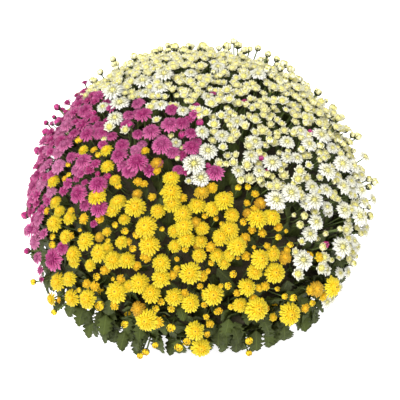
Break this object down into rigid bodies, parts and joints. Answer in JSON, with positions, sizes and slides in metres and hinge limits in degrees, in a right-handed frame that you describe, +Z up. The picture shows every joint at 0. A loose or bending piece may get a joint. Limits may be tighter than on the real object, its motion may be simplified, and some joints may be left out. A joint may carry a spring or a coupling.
{
  "type": "pot chrysanthemum",
  "caption": "Dome of small chrysanthemum blooms in yellow, magenta and cream over lobed leaves, grown together above a plain round pot.",
  "frame": {"origin": "centre of the pot's underside", "axes": "+Z up, -Y towards the front where the yellow blooms are, +X to the right seen from the front"},
  "size_m": [0.6111, 0.6052, 0.4894],
  "materials": {
    "pot_plastic": "dark matte nursery pot plastic with a faint grain",
    "potting_soil": "damp dark peat mix, rough, with paler fibres and specks",
    "foliage": "matte dark green leaves and stems, finely downy, paler along the veins and below",
    "yellow_petals": "matte petals, bright yellow, orange towards the young centres",
    "magenta_petals": "matte petals, magenta pink with finer darker lines and paler tips",
    "cream_petals": "matte petals, white to cream, yellow-green towards the centre"
  },
  "bodies": {
    "root": {"pot": "pot_plastic", "soil": "potting_soil", "yellow_plant": "foliage", "magenta_plant": "foliage", "cream_plant": "foliage", "yellow_blooms_01": "yellow_petals", "yellow_blooms_02": "yellow_petals", "yellow_blooms_03": "yellow_petals", "yellow_blooms_04": "yellow_petals", "yellow_blooms_05": "yellow_petals", "yellow_blooms_06": "yellow_petals", "yellow_blooms_07": "yellow_petals", "yellow_blooms_08": "yellow_petals", "yellow_blooms_09": "yellow_petals", "yellow_blooms_10": "yellow_petals", "magenta_blooms_01": "magenta_petals", "magenta_blooms_02": "magenta_petals", "magenta_blooms_03": "magenta_petals", "magenta_blooms_04": "magenta_petals", "magenta_blooms_05": "magenta_petals", "magenta_blooms_06": "magenta_petals", "magenta_blooms_07": "magenta_petals", "magenta_blooms_08": "magenta_petals", "cream_blooms_01": "cream_petals", "cream_blooms_02": "cream_petals", "cream_blooms_03": "cream_petals", "cream_blooms_04": "cream_petals", "cream_blooms_05": "cream_petals", "cream_blooms_06": "cream_petals", "cream_blooms_07": "cream_petals", "cream_blooms_08": "cream_petals", "cream_blooms_09": "cream_petals", "cream_blooms_10": "cream_petals", "cream_blooms_11": "cream_petals", "cream_blooms_12": "cream_petals", "cream_blooms_13": "cream_petals", "cream_blooms_14": "cream_petals", "cream_blooms_15": "cream_petals", "cream_blooms_16": "cream_petals", "cream_blooms_17": "cream_petals", "cream_blooms_18": "cream_petals", "cream_blooms_19": "cream_petals", "cream_blooms_20": "cream_petals", "cream_blooms_21": "cream_petals", "cream_blooms_22": "cream_petals", "cream_blooms_23": "cream_petals", "cream_blooms_24": "cream_petals", "cream_blooms_25": "cream_petals", "cream_blooms_26": "cream_petals", "cream_blooms_27": "cream_petals"}
  },
  "joints": []
}
